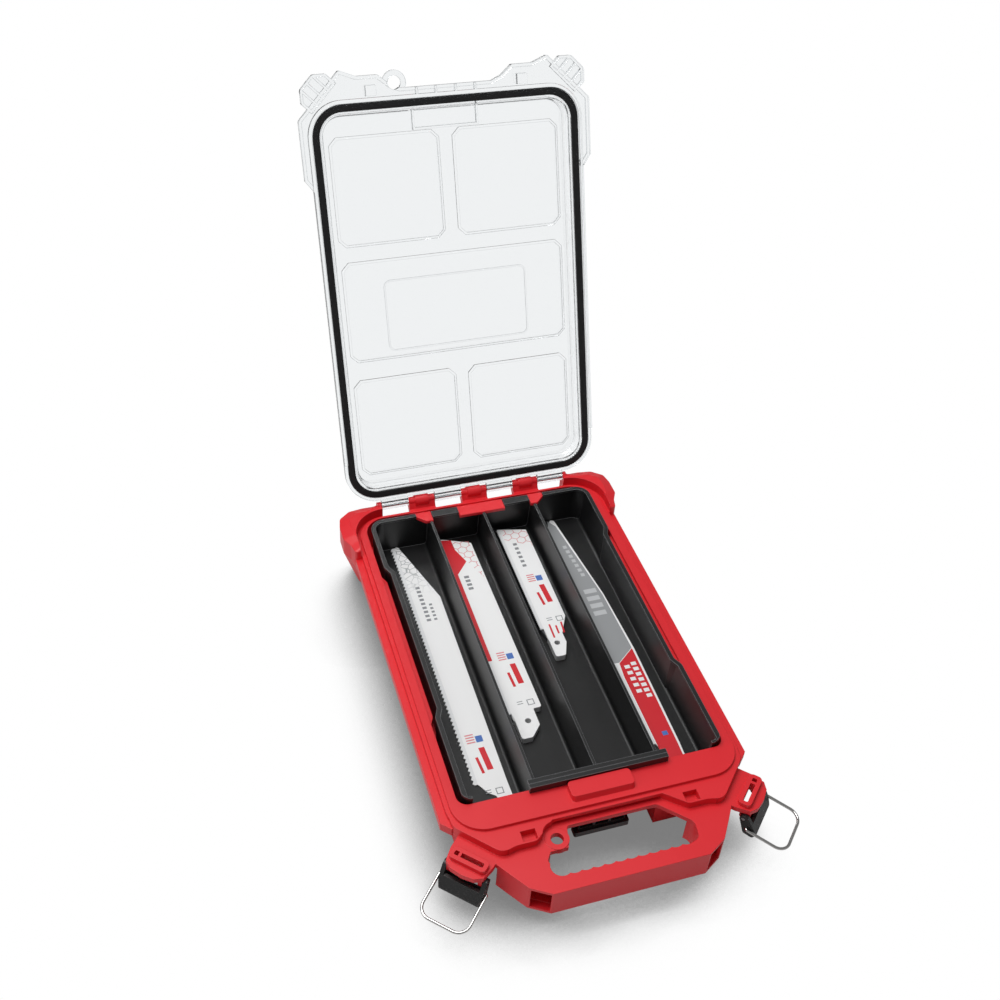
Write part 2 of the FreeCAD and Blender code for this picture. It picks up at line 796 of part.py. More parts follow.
def lane(x_from, x_to, y_from, y_to):
    """Room of one lane: drafted sides and rounded foot, drawn across and run along the tray."""
    low = floor_top + tray_floor
    high = tray_top
    points = [
        (x_from + tray_wall, low, lane_radius), (x_to - tray_wall, low, lane_radius),
        (x_to, high, 0), (x_from, high, 0),
    ]
    return side_prism(points, y_from, y_to)


def lane_room(open_front):
    """Space inside the tray's drafted walls, with the outer lanes run on through its front."""
    rim_low = tray_top - tray_rim_height
    room = taper(inset(tray_outline(tray_draft), tray_wall), inset(tray_outline(tray_rim_step), tray_wall),
                 floor_top, rim_low)
    if not open_front:
        return room
    front = lip_front + tub_front_step + wall + gap + tray_wall
    back = lip_front + deck_reach + gap + tray_draft + tray_front_radius
    half = tray_half_width - tray_draft - tray_front_radius
    return room.fuse(box(-half, half, front, back, floor_top, rim_low)).removeSplitter()


def lanes():
    half = divider_width / 2
    left, middle, right = divider_places
    outer = tray_half_width - tray_draft - tray_wall
    front = lip_front + tub_front_step + wall
    through, inner = lane_room(True), lane_room(False)
    return [
        lane(-outer, left - half, front, tray_back).common(through),
        lane(left + half, middle - half, front, tray_back).common(inner),
        lane(middle + half, right - half, front, tray_back).common(inner),
        lane(right + half, outer, front, tray_back).common(through),
    ]


def tray_flange():
    """Front flange over the deck's edge, with its turned-down lip."""
    back = lip_front + deck_reach + gap + tray_wall
    top = tray_top - gap
    plate = prism(block_plan(flange_left, flange_right, flange_front, back, flange_plate / 2),
                  top - flange_plate, top)
    lip = box(flange_left, flange_right, flange_front, flange_front + flange_lip, flange_lip_low, top - gap)
    return [plate, lip]


def tray_strips():
    """Flange strips over the rear wall, between the clips."""
    shapes = []
    for side in (-1, 1):
        edges = sorted((side * (clip_middle_half_width + gap), side * (clip_side_inner - gap)))
        shapes.append(box(edges[0], edges[1], tray_back - strip_reach, tray_back,
                          tray_top - tray_rim_height, tray_top))
    return shapes


def tray_notches():
    """Low stretches of the rear wall under the clips."""
    shapes = []
    places = [(-clip_middle_half_width, clip_middle_half_width)]
    places += [(clip_side_inner, clip_side_outer), (-clip_side_outer, -clip_side_inner)]
    for x_from, x_to in places:
        shapes.append(box(x_from - gap, x_to + gap, clip_front - gap, tray_back + overrun,
                          clip_top - clip_head - gap, tray_top + overrun))
    return shapes


def insert_tray():
    rim_low = tray_top - tray_rim_height
    outer = taper(tray_outline(tray_draft), tray_outline(tray_rim_step), floor_top, rim_low)
    left, middle, right = divider_places
    half = divider_width / 2
    end_side = tray_half_width - tray_draft - tray_front_radius + tray_wall
    ends = [under_deck_part(-end_side, left + half, -1), under_deck_part(right - half, end_side, 1)]
    body = outer.fuse(ends).cut(lanes())
    inner = prism(inset(tray_outline(0), tray_rim_width), divider_top, tray_top + overrun)
    rim = prism(tray_outline(0), rim_low, tray_top).cut(inner)
    body = body.cut(inner)
    front = lip_front + deck_reach
    side = tray_half_width - tray_rim_width
    front_gaps = [
        box(-side, flange_left, front, front + overrun, divider_top, tray_top + gap),
        box(flange_right, side, front, front + overrun, divider_top, tray_top + gap),
    ]
    rim = rim.cut(front_gaps)
    body = body.cut(front_gaps)
    body = body.fuse([rim] + tray_flange() + tray_strips()).cut(tray_notches())
    return body.removeSplitter()


# Saw blades

def toothed_edge(x, y_from, y_to, count, depth):
    """Corners of a straight row of teeth, from the front to the back."""
    pitch = (y_to - y_from) / count
    points = []
    for index in range(count):
        start = y_from + index * pitch
        points.append((x, start, 0))
        points.append((x - depth, start + pitch * tooth_back_share, 0))
    points.append((x, y_to, 0))
    return points


def blade_back(edge_x, shares, row_from, row_to):
    """Corners of a blade's back and tang, from the strip's rear end round to it."""
    points = [(edge_x + tooth_strip, row_to, 0), (edge_x + tooth_strip, row_from, 0)]
    for x, y, radius in shares:
        points.append((edge_x + x * blade_width, along(y), radius * blade_width))
    return list(reversed(points))


def blade_set(number, back_shares, row_shares, spares):
    """Top blade as a steel back and its tooth strip, and the whole blades that lie under it."""
    edge_x = blade_edge_shares[number - 1] * tray_half_width
    row_from, row_to = [along(share) for share in row_shares]
    back = blade_back(edge_x, back_shares, row_from, row_to)
    teeth = toothed_edge(edge_x, row_from, row_to, blade_teeth[number - 1], tooth_depths[number - 1])
    strip = [(edge_x + tooth_strip, row_to, 0), (edge_x + tooth_strip, row_from, 0)] + teeth
    hole_share = tang_hole_shares[number - 1]
    low = floor_top + tray_floor + blade_rest_gap
    hole = post(tang_hole_radius, edge_x + hole_share[0] * blade_width, along(hole_share[1]), 0, lip_top)
    pitch = blade_thickness + blade_stack_gap
    top = low + spares * pitch
    shapes = {
        "blade_%d_back" % number: prism(back, top, top + blade_thickness).cut(hole),
        "blade_%d_teeth" % number: prism(strip, top, top + blade_thickness),
    }
    if spares:
        whole = back[:-2] + teeth
        under = [prism(whole, low + index * pitch, low + index * pitch + blade_thickness).cut(hole)
                 for index in range(spares)]
        shapes["blade_%d_spares" % number] = Part.makeCompound(under)
    return shapes


def blades():
    shapes = blade_set(1, blade_1_shares, blade_1_row_shares, 0)
    shapes.update(blade_set(2, blade_2_shares, blade_2_row_shares, spare_count))
    shapes.update(blade_set(3, blade_3_shares, blade_3_row_shares, spare_count))
    shapes.update(blade_set(4, blade_4_shares, blade_4_row_shares, 0))
    return shapes


# Lid

def seal_outline():
    return plan(seal_half_width, seal_front, seal_back, seal_radius, seal_radius)


def lid_gasket():
    outer = seal_outline()
    ring = prism(outer, seal_low, seal_low + seal_height).cut(
        prism(inset(outer, seal_width), seal_low - overrun, seal_low + overrun))
    low_edges = [edge for edge in ring.Edges if edge.BoundBox.ZMax < seal_low + gap]
    return opened(ring.makeFillet(seal_round, low_edges))


def opened(shape):
    """Turn a shape of the closed lid about the hinge to where the lid stands open."""
    turned = shape.copy()
    turned.rotate(V(0, hinge_y, hinge_z), X_AXIS, -lid_open_angle)
    return turned


def lid_rim_outline():
    half_width = seal_half_width + lid_rim
    front = seal_front - lid_rim
    return plan(half_width, front, lid_back, seal_radius + lid_rim, seal_radius + lid_rim)


def lid_inner_outline():
    return inset(seal_outline(), seal_width + lid_wall)


def lid_wings():
    """Flange round the lid's front, with wings over the front deck and wide sides."""
    right = spread(lid_wing_shares, lid_side_half_width, lid_wing_depth, lip_front)
    right += [(lid_side_half_width, lid_side_back, 0),
              (seal_half_width + lid_rim, lid_side_back + lid_side_ramp, 0)]
    low = ledge_top + gap
    plate = prism(mirrored(right), low, low + lid_wing_thickness)
    ring = post(lid_eyelet_ring_radius, eyelet_x, eyelet_y, low, low + lid_wing_thickness)
    strip = box(-right[1][0], right[1][0], seal_front - lid_rim - lid_front_strip, seal_front,
                low, low + lid_wing_thickness)
    ribs = []
    for x in lid_strip_rib_places:
        ribs.append(box(x - lid_strip_rib / 2, x + lid_strip_rib / 2,
                        seal_front - lid_rim - lid_front_strip, seal_front - lid_rim + gap,
                        low, seal_low + seal_height + lid_plate))
    edge = prism(inset(mirrored(right), lid_wing_thickness), low + lid_wing_thickness, low + overrun)
    raised = prism(mirrored(right), low + lid_wing_thickness, low + 2 * lid_wing_thickness).cut(edge)
    return plate.fuse([ring, strip, raised] + ribs)


def lid_bosses():
    """Square bosses that reach into the deck's pockets."""
    shapes = []
    y = pocket_front + pocket_length / 2
    half = lid_boss_side / 2
    for side in (-1, 1):
        x = side * pocket_centre_x
        shapes.append(box(x - half, x + half, y - half + gap, y + half - gap,
                          ledge_top - lid_boss_drop + 4 * gap, ledge_top + lid_wing_thickness))
    return shapes


def catch():
    """Ribbed catch in the corner frame, under the bar of the latch's wire."""
    half = catch_half_width
    points = [
        (catch_start, -half, 0), (catch_end - half / 2, -half, catch_inner_radius),
        (catch_end, -half / 2, catch_outer_radius), (catch_end, half / 2, catch_outer_radius),
        (catch_end - half / 2, half, catch_inner_radius), (catch_start, half, 0),
    ]
    solid = prism(points, catch_low, catch_top)
    hollow = prism(inset(points, catch_wall), catch_low + catch_wall, catch_top + overrun)
    ribs = []
    for index in (-1, 0, 1):
        y = index * catch_rib_spacing
        ribs.append(box(catch_start, catch_end, y - catch_rib / 2, y + catch_rib / 2, 0, catch_top))
    return solid.cut(hollow.cut(ribs))


def pad_plans():
    """Outlines of the raised pads on the lid, each with clipped corners."""
    plans = []
    clipped, bend = pad_corner, pad_corner_radius
    spans = [(pad_gap_half_width, pad_half_reach), (-pad_half_reach, -pad_gap_half_width)]
    areas = [(x_from, x_to, row) for row in pad_row_shares for x_from, x_to in spans]
    areas.append((-pad_half_reach, pad_half_reach, centre_pad_shares))
    for x_from, x_to, row in areas:
        y_from, y_to = along(row[0]), along(row[1])
        plans.append([
            (x_from + clipped, y_from, bend), (x_to - clipped, y_from, bend), (x_to, y_from + clipped, bend),
            (x_to, y_to - clipped, bend), (x_to - clipped, y_to, bend), (x_from + clipped, y_to, bend),
            (x_from, y_to - clipped, bend), (x_from, y_from + clipped, bend),
        ])
    return plans


def dome():
    """Raised panel of the lid with its pads, hollow below."""
    inner = lid_inner_outline()
    outer = inset(inner, -lid_wall)
    under = lid_panel_top - lid_shell
    plate_top = seal_low + seal_height + lid_plate
    raised = [prism(points, under, lid_panel_top + lid_pad_rise) for points in pad_plans()]
    solid = prism(outer, lid_inner_low, plate_top).fuse(
        [taper(outer, inset(outer, lid_wall), plate_top, lid_panel_top)] + raised)
    hollow = [prism(inner, 0, plate_top), taper(inner, inset(inner, lid_wall), plate_top, under)]
    hollow += [prism(inset(points, lid_shell), under - gap, under + lid_pad_rise) for points in pad_plans()]
    return solid.cut(hollow[0].fuse(hollow[1:]))


def centre_mark_frame():
    """Plain raised frame on the underside of the lid's centre pad."""
    low = lid_panel_top - lid_shell + lid_pad_rise
    outer = block_plan(-centre_frame_half_width, centre_frame_half_width, along(centre_frame_shares[0]),
                       along(centre_frame_shares[1]), pad_corner)
    return prism(outer, low - frame_rise, low + gap).cut(prism(inset(outer, frame_line), 0, lid_panel_top))


def pad_pocket():
    """U-shaped rib under the lid that closes round the deck's pad."""
    front = seal_front + seal_width
    top = lid_panel_top - lid_shell + gap
    outer = box(-lid_pocket_half_width - lid_pocket_wall, lid_pocket_half_width + lid_pocket_wall,
                front, lid_pocket_back + lid_pocket_wall, lid_panel_top - lid_pocket_height, top)
    inner = box(-lid_pocket_half_width, lid_pocket_half_width, front - overrun, lid_pocket_back,
                0, top + overrun)
    return outer.cut(inner)


def lid_knuckles():
    shapes = []
    half = (post_spacing - post_width) / 2 - gap
    for index in range(4):
        x = (index - 3 / 2) * post_spacing
        web = box(x - half, x + half, lid_back - lid_rim, hinge_y, knuckle_web_low, hinge_z)
        shapes += [rod_x(knuckle_radius, x - half, x + half, hinge_y, hinge_z), web]
    return shapes


def lid_shell_shape():
    rim = lid_rim_outline()
    plate_top = seal_low + seal_height + lid_plate
    ring = prism(rim, seal_low, plate_top)
    groove = prism(seal_outline(), 0, seal_low + seal_height)
    skirt = prism(rim, ledge_top + gap, seal_low).common(
        box(-rail_half_width, rail_half_width, lip_front - lid_wing_depth, lid_skirt_back,
            0, lip_top + overrun))
    room = prism(lid_inner_outline(), 0, plate_top)
    body = ring.fuse([skirt, lid_wings()]).cut([groove, room])
    catches = [on_corner(catch(), 1), on_corner(catch(), -1)]
    body = body.fuse([dome(), pad_pocket(), centre_mark_frame()] + catches + lid_bosses() + lid_knuckles())
    rod_bore = hinge_rod(hinge_rod_radius + pin_fit, rail_half_width)
    hole = post(lid_eyelet_hole_radius, eyelet_x, eyelet_y, 0, lid_panel_top)
    relief = box(-pad_half_width - gap, pad_half_width + gap, seal_front, lid_pocket_back,
                 seal_low + gap, pad_top + gap)
    relief = relief.common(prism(inset(seal_outline(), seal_width), 0, lid_panel_top))
    return opened(body.cut([rod_bore, hole, relief]).removeSplitter())


# Latches

def lever():
    """Latch lever in the corner frame: two cheeks, an outer plate and a foot that join them."""
    e, z = lever_pin_reach, lever_pin_z
    profile = [
        (e - lever_boss_radius, z + lever_boss_radius, lever_top_radius),
        (e + lever_top_reach, z + lever_boss_radius, lever_top_radius),
        (e + lever_shoulder_reach, z - lever_shoulder_drop, lever_rounding),
        (e + lever_tip_reach, z - lever_tip_drop, lever_rounding),
        (e + lever_tip_reach - lever_plate, z - lever_foot_drop, lever_small_rounding),
        (e + lever_heel_reach, z - lever_heel_drop, lever_rounding),
    ]
    inner = lug_inner + lug_width + gap
    outer = inner + cheek_width
    solid = side_prism(profile, -outer, outer)
    core = [
        (e - lever_boss_radius - gap, z + lever_boss_radius + gap, 0),
        (e + lever_shoulder_reach + gap, z + lever_boss_radius + gap, 0),
        (e + lever_shoulder_reach + gap, z - lever_shoulder_drop, 0),
        (e + lever_boss_radius + lever_recess, z - lever_shoulder_drop, 0),
        (e + lever_core_reach, z - lever_core_drop, lever_small_rounding),
        (e + lever_heel_reach + lever_plate, z - lever_core_drop + lever_recess, lever_small_rounding),
        (e - lever_boss_radius - gap, z - lever_boss_radius - gap, 0),
    ]
    body = solid.cut(side_prism(core, -inner, inner))
    seen_from_above = [
        (e - lever_boss_radius, -outer, 0), (e + lever_tip_reach, -outer, lever_side_radius),
        (e + lever_tip_reach, outer, lever_side_radius), (e - lever_boss_radius, outer, 0),
    ]
    body = body.common(prism(seen_from_above, 0, lip_top))
    bore = rod_y(bail_wire_radius + pin_fit, -outer, outer, e + bail_reach, z - bail_drop)
    return body.cut([bore, lever_pin(lever_pin_radius + pin_fit, outer + overrun)])


def bend_point(centre_x, centre_y, radius, x_side, y_side):
    """Middle of a quarter bend about a centre."""
    reach = radius * math.sqrt(1 / 2)
    return V(centre_x + x_side * reach, centre_y + y_side * reach, 0)


def bail():
    """Steel wire bail in the corner frame, its bent ends in the lever's cheeks."""
    cheek = lug_inner + lug_width + gap
    arm = cheek + cheek_width + bail_side_gap + bail_wire_radius
    inner = cheek + gap
    bend = bail_corner_radius
    small = bail_side_gap + bail_wire_radius
    far = bail_length - bend
    lines = [
        (V(0, -inner, 0), V(0, small - arm, 0)), (V(small, -arm, 0), V(far, -arm, 0)),
        (V(bail_length, bend - arm, 0), V(bail_length, arm - bend, 0)),
        (V(far, arm, 0), V(small, arm, 0)), (V(0, arm - small, 0), V(0, inner, 0)),
    ]
    bends = [
        bend_point(small, small - arm, small, -1, -1), bend_point(far, bend - arm, bend, 1, -1),
        bend_point(far, arm - bend, bend, 1, 1), bend_point(small, arm - small, small, -1, 1),
    ]
    edges = []
    for index, (start, end) in enumerate(lines):
        edges.append(Part.makeLine(start, end))
        if index < len(bends):
            edges.append(Part.Arc(end, bends[index], lines[index + 1][0]).toShape())
    section = Part.Wire([Part.Circle(lines[0][0], V(0, -1, 0), bail_wire_radius).toShape()])
    wire = Part.Wire(edges).makePipeShell([section], True, False)
    wire.rotate(ORIGIN, Y_AXIS, bail_tilt)
    wire.translate(V(lever_pin_reach + bail_reach, 0, lever_pin_z - bail_drop))
    return wire


# Stacking lock

def stacking_lock():
    back = lock_front + lock_depth
    body = block_plan(lock_x - lock_half_width, lock_x + lock_half_width, lock_front, back, lock_body_radius)
    foot = block_plan(lock_x - lock_foot_half_width, lock_x + lock_foot_half_width,
                      lock_front - lock_foot_depth, back, lock_foot_radius)
    solid = prism(body, lock_low, lock_top).fuse(prism(foot, lock_low, lock_low + lock_foot_height))
    third = lock_half_width * 2 / 3
    for x in (lock_x - third, lock_x, lock_x + third):
        solid = solid.cut(box(x - third / 2 + lock_recess_depth / 2, x + third / 2 - lock_recess_depth / 2,
                              lock_front - overrun, lock_front + lock_recess_depth,
                              lock_low + lock_foot_height + lock_recess_depth, lock_top - lock_depth))
    bore = rod_x(lock_pin_radius + pin_fit, -rail_half_width, rail_half_width, lock_pin_y, lock_pin_z)
    return solid.cut(bore)


def lock_pin():
    reach = lock_half_width + gap + lock_lug_width
    return rod_x(lock_pin_radius, lock_x - reach, lock_x + reach, lock_pin_y, lock_pin_z)


def build():
    pin_half_length = lug_inner + lug_width + cheek_width
    parts = {
        "base_shell": base_shell(),
        "hinge_rod": hinge_rod(hinge_rod_radius, hinge_rod_half_length),
        "insert_tray": insert_tray(),
        "lock_pin": lock_pin(),
        "stacking_lock": stacking_lock(),
        "lid_shell": lid_shell_shape(),
        "lid_gasket": lid_gasket(),
    }
    for name, side in (("left", -1), ("right", 1)):
        parts["lever_pin_" + name] = on_corner(lever_pin(lever_pin_radius, pin_half_length), side)
        parts["latch_lever_" + name] = on_corner(lever(), side)
        parts["wire_bail_" + name] = on_corner(bail(), side)
    parts.update(blades())
    return parts


os.makedirs("parts", exist_ok=True)
for node, shape in build().items():
    if not shape.isValid():
        print(node, "isn't valid")
    shape.exportStep("parts/" + node + ".step")
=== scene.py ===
import math

import bmesh
import bpy
from mathutils import Matrix, Vector


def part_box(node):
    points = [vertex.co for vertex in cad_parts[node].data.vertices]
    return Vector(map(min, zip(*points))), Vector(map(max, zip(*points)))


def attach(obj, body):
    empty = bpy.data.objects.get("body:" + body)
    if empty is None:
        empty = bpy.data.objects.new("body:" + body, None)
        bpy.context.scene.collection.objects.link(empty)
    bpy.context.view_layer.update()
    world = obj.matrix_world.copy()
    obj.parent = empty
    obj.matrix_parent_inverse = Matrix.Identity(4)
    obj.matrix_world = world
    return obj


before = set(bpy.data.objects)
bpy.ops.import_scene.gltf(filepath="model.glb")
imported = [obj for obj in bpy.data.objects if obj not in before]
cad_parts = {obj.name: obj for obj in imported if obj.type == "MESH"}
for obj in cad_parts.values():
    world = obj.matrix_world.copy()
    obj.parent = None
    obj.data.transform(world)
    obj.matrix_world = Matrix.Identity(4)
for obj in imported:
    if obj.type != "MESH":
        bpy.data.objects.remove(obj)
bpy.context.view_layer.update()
MM = 0.001
LEFT_STACK_STRIP_EDGE = -35.5
RIGHT_STACK_STRIP_EDGE = 17.1


# Colours and node helpers

def linear(code):
    """Linear colour of an sRGB hex value."""
    channels = [int(code[i:i + 2], 16) / 255 for i in (1, 3, 5)]
    return tuple(c / 12.92 if c <= 0.04045 else ((c + 0.055) / 1.055) ** 2.4 for c in channels) + (1.0,)


def add(tree, kind, settings=None, **inputs):
    """One node with its settings; an input is a value or the output socket that feeds it."""
    made = tree.nodes.new(kind)
    for name, value in (settings or {}).items():
        setattr(made, name, value)
    for name, value in inputs.items():
        socket = made.inputs[int(name[1:])] if name[0] == "_" else made.inputs[name.replace("_", " ")]
        if isinstance(value, bpy.types.NodeSocket):
            tree.links.new(value, socket)
        else:
            socket.default_value = value
    return made


def finish_of(name, colour, roughness, metallic=0.0, ior=1.5):
    """New material with its Principled surface set to one finish."""
    made = bpy.data.materials.new(name)
    made.use_nodes = True
    tree = made.node_tree
    surface = tree.nodes["Principled BSDF"]
    surface.inputs["Base Color"].default_value = linear(colour)
    surface.inputs["Roughness"].default_value = roughness
    surface.inputs["Metallic"].default_value = metallic
    surface.inputs["IOR"].default_value = ior
    return made, tree, surface


def place_of(tree):
    """Place on the piece in its own coordinates, so that a pattern keeps its real size."""
    return add(tree, "ShaderNodeTexCoord").outputs["Object"]


def grain(tree, size_mm, detail=3.0):
    """Noise whose lumps are about size_mm across."""
    texture = add(tree, "ShaderNodeTexNoise", Vector=place_of(tree), Scale=1 / (size_mm * MM), Detail=detail)
    return texture.outputs["Fac"]


def between(tree, value, low, high):
    """Map a 0 to 1 value to a range."""
    mapped = add(tree, "ShaderNodeMapRange", Value=value, To_Min=low, To_Max=high)
    return mapped.outputs["Result"]


def tint(tree, value, dark, light):
    """Blend of two colours by a 0 to 1 value."""
    mixed = add(tree, "ShaderNodeMix", {"data_type": "RGBA"}, Factor=value)
    for socket in mixed.inputs:
        if socket.type == "RGBA":
            socket.default_value = linear(dark) if socket.name == "A" else linear(light)
    return [socket for socket in mixed.outputs if socket.type == "RGBA"][0]


def painted_edge_mask(tree, radius_mm):
    """1 along the edges of a moulding, where it catches the light, and 0 on its faces; the materials paint edge
    highlights and edge shade into their colour with it.
    """
    rounded = add(tree, "ShaderNodeBevel", {"samples": 8}, Radius=radius_mm * MM)
    flat = add(tree, "ShaderNodeNewGeometry")
    same = add(tree, "ShaderNodeVectorMath", {"operation": "DOT_PRODUCT"}, _0=rounded.outputs["Normal"],
               _1=flat.outputs["True Normal"])
    line = add(tree, "ShaderNodeMapRange", Value=same.outputs["Value"], From_Min=0.9, From_Max=0.995,
               To_Min=1.0, To_Max=0.0)
    return line.outputs["Result"]


def relief(tree, surface, height, depth_mm, edge_mm):
    """Bump over edges that are softened as a moulded part's are."""
    rounded = add(tree, "ShaderNodeBevel", {"samples": 6}, Radius=edge_mm * MM)
    bump = add(tree, "ShaderNodeBump", Strength=1.0, Distance=depth_mm * MM, Height=height,
               Normal=rounded.outputs["Normal"])
    tree.links.new(bump.outputs["Normal"], surface.inputs["Normal"])


# Materials

def red_abs():
    """Impact-modified ABS from a spark-textured mould: a fine matt grain, edges slightly rounded."""
    made, tree, surface = finish_of("red_abs_spark_textured", "#DA1A25", 0.42, ior=1.53)
    fine = grain(tree, 0.6)
    broad = grain(tree, 45)
    tree.links.new(tint(tree, broad, "#D61722", "#DE1C27"), surface.inputs["Base Color"])
    tree.links.new(between(tree, broad, 0.38, 0.46), surface.inputs["Roughness"])
    relief(tree, surface, fine, 0.018, 0.5)
    return made


def black_nylon():
    """Glass-filled nylon of the latches and the lock: satin black with a faint grain."""
    made, tree, surface = finish_of("black_nylon_satin", "#151516", 0.42, ior=1.53)
    relief(tree, surface, grain(tree, 0.8), 0.015, 0.4)
    tree.links.new(between(tree, grain(tree, 12), 0.38, 0.48), surface.inputs["Roughness"])
    return made


def black_polystyrene():
    """High-impact polystyrene of the lane tray: dull black, with a painted highlight, a thin pale line, along
    each edge.
    """
    made, tree, surface = finish_of("black_polystyrene_moulded", "#111112", 0.38, ior=1.57)
    relief(tree, surface, grain(tree, 7, 2.0), 0.02, 0.5)
    tree.links.new(between(tree, grain(tree, 30), 0.34, 0.42), surface.inputs["Roughness"])
    # painted highlight: the base colour turns pale grey along every edge
    tree.links.new(tint(tree, painted_edge_mask(tree, 0.6), "#111112", "#77787A"), surface.inputs["Base Color"])
    return made


def clear_polycarbonate():
    """Clear polycarbonate, polished in the mould, with soft reflections and painted grey shade along its edges.
    """
    made, tree, surface = finish_of("clear_polycarbonate", "#F3F5F6", 0.03, ior=1.585)
    surface.inputs["Transmission Weight"].default_value = 1.0
    rounded = add(tree, "ShaderNodeBevel", {"samples": 4}, Radius=0.35 * MM)
    tree.links.new(rounded.outputs["Normal"], surface.inputs["Normal"])
    # painted shade: the base colour turns grey along every edge
    tree.links.new(tint(tree, painted_edge_mask(tree, 0.7), "#F3F5F6", "#C6CACC"), surface.inputs["Base Color"])
    path = add(tree, "ShaderNodeLightPath")
    through = add(tree, "ShaderNodeBsdfTransparent", Color=linear("#F2F4F5"))
    mixed = add(tree, "ShaderNodeMixShader", _0=path.outputs["Is Shadow Ray"], _1=surface.outputs["BSDF"],
                _2=through.outputs["BSDF"])
    tree.links.new(mixed.outputs["Shader"], tree.nodes["Material Output"].inputs["Surface"])
    return made


def seal_rubber():
    """Black silicone seal: soft, even and slightly dull."""
    made, tree, surface = finish_of("black_silicone_seal", "#161617", 0.5, ior=1.41)
    relief(tree, surface, grain(tree, 1.5), 0.02, 0.8)
    return made


def bright_wire():
    """Nickel-plated spring wire: bright, with drawing marks along it."""
    made, tree, surface = finish_of("nickel_plated_wire", "#C9C8C6", 0.16, 1.0)
    tree.links.new(between(tree, grain(tree, 9), 0.13, 0.2), surface.inputs["Roughness"])
    return made


def drawn_rod():
    """Zinc-plated drawn steel rod of the hinge and the pivots."""
    made, tree, surface = finish_of("zinc_plated_rod", "#B9BABC", 0.3, 1.0)
    tree.links.new(between(tree, grain(tree, 2), 0.24, 0.4), surface.inputs["Roughness"])
    return made


def painted_steel(name, colour):
    """Spring steel strip with a baked paint: smooth, with a light speckle."""
    made, tree, surface = finish_of(name, colour, 0.4, ior=1.5)
    relief(tree, surface, grain(tree, 0.9), 0.01, 0.12)
    return made


def crackled_paint():
    """White baked paint with a faint grey crackle printed near the blade's tip."""
    made = painted_steel("white_paint_crackle_print", "#F4F4F4")
    tree = made.node_tree
    place = place_of(tree)
    cells = add(tree, "ShaderNodeTexVoronoi", {"feature": "DISTANCE_TO_EDGE"}, Vector=place, Scale=1 / (6 * MM))
    line = add(tree, "ShaderNodeMapRange", Value=cells.outputs["Distance"], From_Min=0.02, From_Max=0.06,
               To_Min=1.0, To_Max=0.0)
    along = add(tree, "ShaderNodeSeparateXYZ", Vector=place)
    fade = add(tree, "ShaderNodeMapRange", Value=along.outputs["Y"], From_Min=86 * MM, From_Max=120 * MM)
    amount = add(tree, "ShaderNodeMath", {"operation": "MULTIPLY"}, _0=line.outputs["Result"],
                 _1=fade.outputs["Result"])
    shade = tint(tree, amount.outputs["Value"], "#F4F4F4", "#A9ABAD")
    tree.links.new(shade, tree.nodes["Principled BSDF"].inputs["Base Color"])
    return made


def loose_blades(name, strip_edge_mm):
    """The blades under the top one: painted backs, and bare hardened steel along the teeth, painted dark grey
    partly for its own colour and partly as shade under the top blade.
    """
    made = painted_steel(name, "#DADBDC")
    tree = made.node_tree
    across = add(tree, "ShaderNodeSeparateXYZ", Vector=place_of(tree))
    bare_strip_in_painted_shade = add(tree, "ShaderNodeMath", {"operation": "LESS_THAN"}, _0=across.outputs["X"],
               _1=strip_edge_mm * MM)
    surface = tree.nodes["Principled BSDF"]
    # partly painted shade: the bare strip along the teeth is coloured dark as it lies in the top blade's shade
    tree.links.new(tint(tree, bare_strip_in_painted_shade.outputs["Value"], "#DADBDC", "#38393C"), surface.inputs["Base Color"])
    return made


def print_ink(name, colour):
    """Screen-printed ink on the blade's paint."""
    made, tree, surface = finish_of(name, colour, 0.45)
    tree.links.new(between(tree, grain(tree, 1.5), 0.4, 0.52), surface.inputs["Roughness"])
    return made


def put_on(names, material):
    """Show some of the case's pieces in one material."""
    for name in names:
        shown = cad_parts[name]
        shown.data.materials.clear()
        shown.data.materials.append(material)


red = red_abs()
nylon = black_nylon()
polystyrene = black_polystyrene()
clear = clear_polycarbonate()
rubber = seal_rubber()
wire = bright_wire()
rod = drawn_rod()
white_paint = painted_steel("white_blade_paint", "#F4F4F4")
crackled = crackled_paint()
teeth = painted_steel("painted_blade_teeth", "#E8E9EA")
red_ink = print_ink("red_blade_ink", "#D5202C")
grey_ink = print_ink("grey_blade_ink", "#8C8E91")
pink_ink = print_ink("pale_red_ink", "#DE8C91")
grey_field = print_ink("grey_field_ink", "#9A9C9E")
blue_ink = print_ink("blue_blade_ink", "#4C74BC")
pale_ink = print_ink("pale_grey_ink", "#C4C6C8")
white_ink = print_ink("white_blade_ink", "#F2F2F2")

put_on(["base_shell"], red)
put_on(["insert_tray"], polystyrene)
put_on(["latch_lever_left", "latch_lever_right", "stacking_lock"], nylon)
put_on(["lid_shell"], clear)
put_on(["lid_gasket"], rubber)
put_on(["wire_bail_left", "wire_bail_right"], wire)
put_on(["hinge_rod", "lock_pin", "lever_pin_left", "lever_pin_right"], rod)
put_on(["blade_1_back"], crackled)
put_on(["blade_2_back", "blade_3_back", "blade_4_back"], white_paint)
put_on(["blade_2_spares"], loose_blades("loose_blades_left", LEFT_STACK_STRIP_EDGE))
put_on(["blade_3_spares"], loose_blades("loose_blades_right", RIGHT_STACK_STRIP_EDGE))
put_on(["blade_1_teeth", "blade_2_teeth", "blade_3_teeth", "blade_4_teeth"], teeth)


# Prints on the blades, in millimetres

PRINT_THICKNESS = 0.03
RAISED_PRINT_THICKNESS = 0.06
HONEYCOMB_CELL = 7.4
HONEYCOMB_LINE = 0.55
BOX_LINE = 0.7


